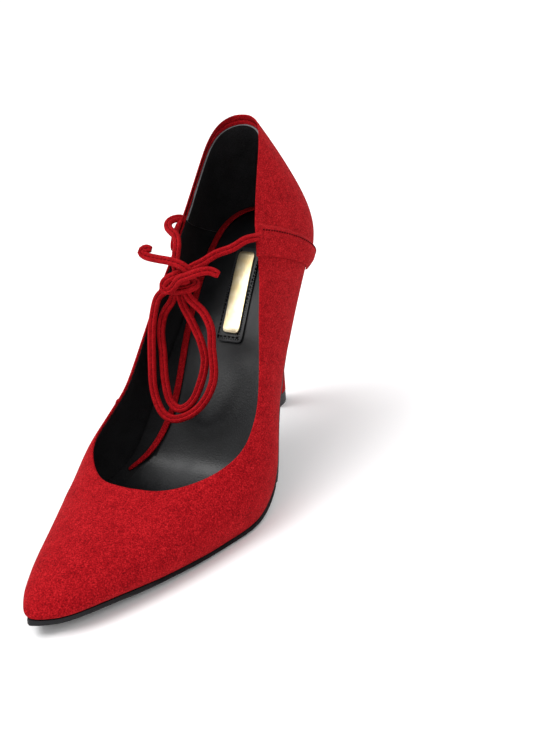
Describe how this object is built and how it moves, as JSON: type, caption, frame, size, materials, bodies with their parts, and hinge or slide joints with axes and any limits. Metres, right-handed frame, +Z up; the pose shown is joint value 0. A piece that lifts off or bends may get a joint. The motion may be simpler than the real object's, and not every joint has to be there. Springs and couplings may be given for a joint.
{
  "type": "lace up heel",
  "caption": "Pointed court shoe on a slim covered heel, with a raised back panel and a cord tied over the instep.",
  "frame": {"origin": "on the floor under the ball of the foot, on the sole's flat tread", "axes": "-Y towards the toe, +Y towards the heel, +X towards the outer side of the left foot, +Z up"},
  "size_m": [0.0875, 0.227, 0.1552],
  "materials": {
    "suede": "matt red suede",
    "panel_suede": "matt red suede",
    "heel_suede": "matt red suede over a moulded heel",
    "strip_suede": "matt red suede",
    "cord_suede": "matt red suede, folded and stitched",
    "sock": "smooth black leather",
    "patch": "smooth black leather",
    "gilt": "polished pale gilt, blank",
    "sole": "satin black",
    "tip": "satin black"
  },
  "bodies": {
    "root": {"upper": "suede", "counter_panel": "panel_suede", "outsole": "sole", "insole": "sock", "insole_rand": "strip_suede", "sock_patch": "patch", "plate": "gilt", "heel": "heel_suede", "top_piece": "tip", "tie_bars": "cord_suede", "knot": "cord_suede", "loop_outer": "cord_suede", "loop_inner": "cord_suede", "end_left": "cord_suede", "end_right": "cord_suede"}
  },
  "joints": []
}
